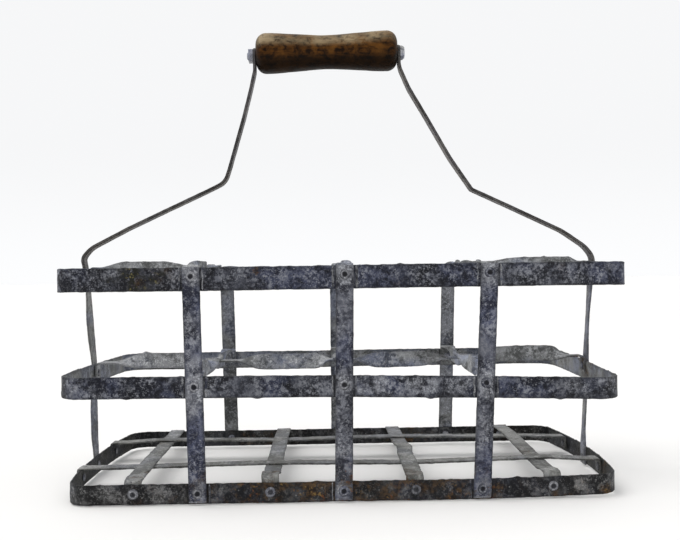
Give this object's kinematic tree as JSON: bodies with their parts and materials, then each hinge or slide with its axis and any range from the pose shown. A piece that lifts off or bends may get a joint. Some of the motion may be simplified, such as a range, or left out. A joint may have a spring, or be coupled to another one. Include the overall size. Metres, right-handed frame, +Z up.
{
  "type": "milk bottle crate",
  "caption": "Open riveted strip-steel carrier that holds milk bottles in two rows of cells, with a woven strip base, twisted dividers and a swinging bail with a turned wooden grip.",
  "frame": {"origin": "on the ground under the middle of the crate", "axes": "+X along the crate's length towards the right end, +Y across the two rows towards the back, +Z up"},
  "size_m": [0.4164, 0.2044, 0.3555],
  "materials": {
    "hoop_zinc": "old galvanised strip steel, mottled blue-grey with pale oxide and rust spots",
    "strap_zinc": "old galvanised strip steel, mottled grey with zinc runs",
    "divider_zinc": "weathered galvanised strip steel, light grey-green",
    "base_zinc": "weathered galvanised strip steel with light rust",
    "rivet_zinc": "zinc-covered rivet heads",
    "bail_steel": "dark bare steel strip",
    "nut_zinc": "light grey zinc-coated nut and bolt",
    "grip_wood": "worn dark-stained turned wood"
  },
  "bodies": {
    "crate": {"top_hoop": "hoop_zinc", "middle_hoop": "hoop_zinc", "bottom_hoop": "hoop_zinc", "front_strap_left": "strap_zinc", "front_strap_centre": "strap_zinc", "front_strap_right": "strap_zinc", "back_strap_left": "strap_zinc", "back_strap_centre": "strap_zinc", "back_strap_right": "strap_zinc", "end_strap_left": "strap_zinc", "end_strap_right": "strap_zinc", "top_long_divider": "divider_zinc", "top_cross_divider_left": "divider_zinc", "top_cross_divider_centre": "divider_zinc", "top_cross_divider_right": "divider_zinc", "middle_long_divider": "divider_zinc", "middle_cross_divider_left": "divider_zinc", "middle_cross_divider_centre": "divider_zinc", "middle_cross_divider_right": "divider_zinc", "base_cross_strip_1": "base_zinc", "base_cross_strip_2": "base_zinc", "base_cross_strip_3": "base_zinc", "base_cross_strip_4": "base_zinc", "base_long_strip_front": "base_zinc", "base_long_strip_rear": "base_zinc", "top_hoop_rivets": "rivet_zinc", "middle_hoop_rivets": "rivet_zinc", "bottom_hoop_rivets": "rivet_zinc", "end_strap_rivets": "rivet_zinc", "top_divider_rivets": "rivet_zinc", "middle_divider_rivets": "rivet_zinc", "base_strip_rivets": "rivet_zinc", "bail_pivot_rivets": "rivet_zinc"},
    "bail": {"bail_arm_left": "bail_steel", "bail_arm_right": "bail_steel", "handle_bolt": "nut_zinc", "handle_nut": "nut_zinc"},
    "grip": {"grip": "grip_wood"}
  },
  "joints": [
    {"name": "bail_swing", "type": "hinge", "parent": "crate", "child": "bail", "pos_m": [0, 0, 0.1575], "axis": [1, 0, 0], "range_deg": [-40, 40]},
    {"name": "grip_spin", "type": "hinge", "parent": "bail", "child": "grip", "pos_m": [-0.0084, 0, 0.3369], "axis": [0.9999, 0, 0.014], "continuous": true}
  ]
}
